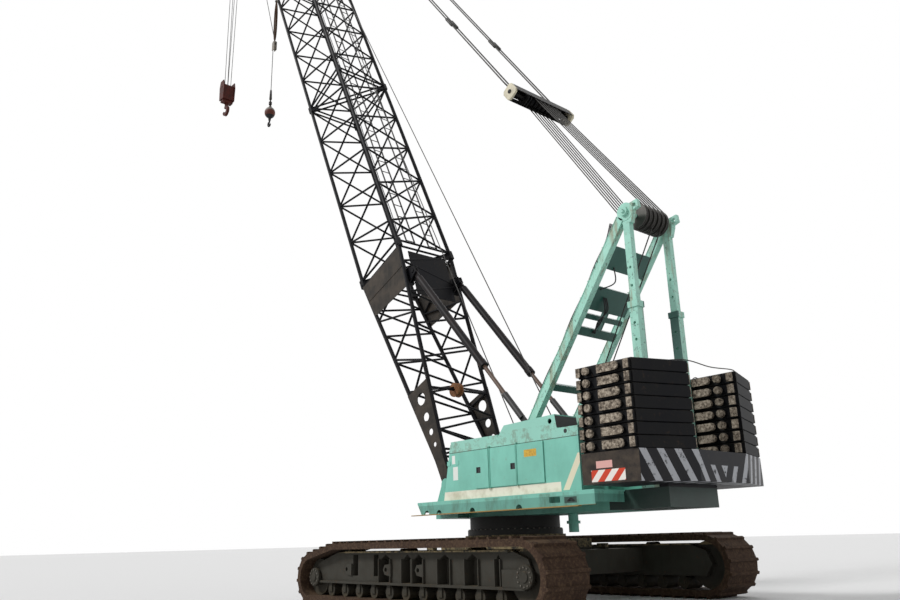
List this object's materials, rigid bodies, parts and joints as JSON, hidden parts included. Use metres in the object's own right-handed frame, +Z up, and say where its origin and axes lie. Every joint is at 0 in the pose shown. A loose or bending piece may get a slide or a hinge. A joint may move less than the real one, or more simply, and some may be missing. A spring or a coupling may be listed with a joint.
{
  "type": "lattice-boom crawler crane",
  "caption": "Crawler crane with a raised lattice boom on luffing pendants, a stacked counterweight, a machinery house with cab, and a hook block and overhaul ball.",
  "frame": {"origin": "on the ground under the slew axis", "axes": "+X from the slew axis towards the boom, +Y to the crane's left, +Z up"},
  "size_m": [24.2403, 6.85, 38.9562],
  "materials": {
    "undercarriage_grey": "worn grey-olive paint with rust and dust",
    "track_steel": "rusty brown cast shoes",
    "ring_steel": "greased steel",
    "house_green": "pale sea-green gloss paint",
    "gantry_mint": "mint green gloss paint",
    "engine_charcoal": "matt dark paint",
    "weight_charcoal": "charcoal paint with dust",
    "boom_navy": "near-black paint with grime",
    "walkway_mesh": "dark expanded mesh",
    "rope": "greased wire rope",
    "stop_steel": "dark paint with rust",
    "hook_red": "dark red paint with black edges",
    "sling_brown": "rusty brown",
    "cab_glass": "lightly tinted glass",
    "seat_black": "black plastic and cloth"
  },
  "bodies": {
    "undercarriage": {"carbody": "undercarriage_grey", "slew_ring": "ring_steel", "track_frame_left": "undercarriage_grey", "track_left": "track_steel", "wheels_left": "undercarriage_grey", "track_frame_right": "undercarriage_grey", "track_right": "track_steel", "wheels_right": "undercarriage_grey"},
    "upper": {"revolving_frame": "house_green", "deck_left": "house_green", "deck_right": "house_green", "house_left": "house_green", "house_right": "house_green", "engine": "engine_charcoal", "cab_shell": "house_green", "cab_glass": "cab_glass", "cab_seat": "seat_black", "counterweight_tray": "weight_charcoal", "counterweight_slabs": "weight_charcoal", "gantry_front": "gantry_mint", "gantry_rear": "gantry_mint"},
    "door_1": {"door_1": "house_green"},
    "door_2": {"door_2": "house_green"},
    "door_3": {"door_3": "house_green"},
    "cab_door": {"cab_door": "house_green"},
    "drum_front": {"drum_front": "ring_steel"},
    "drum_boom": {"drum_boom": "ring_steel"},
    "gantry_head": {"gantry_head": "ring_steel"},
    "hoist_line": {"reeving": "rope"},
    "spreader": {"spreader": "boom_navy", "pendants": "rope"},
    "boom": {"boom_butt": "boom_navy", "boom_insert_1": "boom_navy", "boom_insert_2": "boom_navy", "boom_insert_3": "boom_navy", "boom_top": "boom_navy", "boom_catwalk": "walkway_mesh"},
    "boom_sheaves": {"boom_sheaves": "ring_steel"},
    "backstop_rods": {"backstop_rods": "stop_steel"},
    "backstop_tubes": {"backstop_tubes": "stop_steel"},
    "main_falls": {"hook_falls": "rope"},
    "hook_block": {"hook_block": "hook_red"},
    "sling_block": {"sling_block": "sling_brown", "whip_fall": "rope"},
    "overhaul_ball": {"overhaul_ball": "hook_red"}
  },
  "joints": [
    {"name": "slew", "type": "hinge", "parent": "undercarriage", "child": "upper", "pos_m": [0, 0, 1.85], "axis": [0, 0, 1], "continuous": true},
    {"name": "door_1_hinge", "type": "hinge", "parent": "upper", "child": "door_1", "pos_m": [-0.888, 1.634, 2.86], "axis": [0, 0, 1], "range_deg": [0, 88]},
    {"name": "door_2_hinge", "type": "hinge", "parent": "upper", "child": "door_2", "pos_m": [-0.932, 1.634, 2.86], "axis": [0, 0, -1], "range_deg": [0, 88]},
    {"name": "door_3_hinge", "type": "hinge", "parent": "upper", "child": "door_3", "pos_m": [-1.772, 1.634, 2.86], "axis": [0, 0, -1], "range_deg": [0, 88]},
    {"name": "cab_door_hinge", "type": "hinge", "parent": "upper", "child": "cab_door", "pos_m": [1.41, -2.17, 3], "axis": [0, 0, -1], "range_deg": [0, 95]},
    {"name": "drum_front_spin", "type": "hinge", "parent": "upper", "child": "drum_front", "pos_m": [-0.43, 0, 2.76], "axis": [0, 1, 0], "continuous": true},
    {"name": "drum_boom_spin", "type": "hinge", "parent": "upper", "child": "drum_boom", "pos_m": [-1.7, 0, 2.74], "axis": [0, 1, 0], "continuous": true},
    {"name": "gantry_sheaves_spin", "type": "hinge", "parent": "upper", "child": "gantry_head", "pos_m": [-4.52, 0, 7.95], "axis": [0, 1, 0], "continuous": true},
    {"name": "boom_luff", "type": "hinge", "parent": "upper", "child": "boom", "pos_m": [1.15, 0, 2.64], "axis": [0, -1, 0], "range_deg": [-35.5, 14.5]},
    {"name": "head_sheaves_spin", "type": "hinge", "parent": "boom", "child": "boom_sheaves", "pos_m": [18.142, 0, 37.75527], "axis": [0, 1, 0], "continuous": true},
    {"name": "hoist_line_swing", "type": "hinge", "parent": "upper", "child": "hoist_line", "pos_m": [-4.52, 0, 7.95], "axis": [0, -1, 0], "range_deg": [-35.2, 14.4]},
    {"name": "hoist_line_reeve", "type": "slide", "parent": "hoist_line", "child": "spreader", "axis": [0.5675, 0, 0.8234], "range_m": [-1.95, 4.7], "deforming": ["reeving"]},
    {"name": "backstop_swing", "type": "hinge", "parent": "upper", "child": "backstop_rods", "pos_m": [-1.42, 0, 3.75], "axis": [0, -1, 0], "range_deg": [-29.5, 12.1]},
    {"name": "backstop_slide", "type": "slide", "parent": "backstop_rods", "child": "backstop_tubes", "axis": [0.6484, 0, 0.7613], "range_m": [-0.65, 1.55]},
    {"name": "main_falls_plumb", "type": "hinge", "parent": "boom", "child": "main_falls", "pos_m": [18.142, 0, 37.75527], "axis": [0, -1, 0], "range_deg": [-14.6, 35.6]},
    {"name": "main_hoist", "type": "slide", "parent": "main_falls", "child": "hook_block", "axis": [0, 0, 1], "range_m": [-4, 8], "deforming": ["hook_falls"]},
    {"name": "sling_plumb", "type": "hinge", "parent": "boom", "child": "sling_block", "pos_m": [11.32816, 1.097, 22.61798], "axis": [0, -1, 0], "range_deg": [-14.6, 35.6]},
    {"name": "whip_hoist", "type": "slide", "parent": "sling_block", "child": "overhaul_ball", "axis": [0, 0, 1], "range_m": [-6, 1], "deforming": ["whip_fall"]}
  ],
  "couplings": [
    {"joint": "hoist_line_swing", "follows": "boom_luff", "ratio": 0.99},
    {"joint": "hoist_line_reeve", "follows": "boom_luff", "m_per_rad": -7.5},
    {"joint": "backstop_swing", "follows": "boom_luff", "ratio": 0.83},
    {"joint": "backstop_slide", "follows": "boom_luff", "m_per_rad": -2.4},
    {"joint": "main_falls_plumb", "follows": "boom_luff", "ratio": -1},
    {"joint": "sling_plumb", "follows": "boom_luff", "ratio": -1}
  ]
}
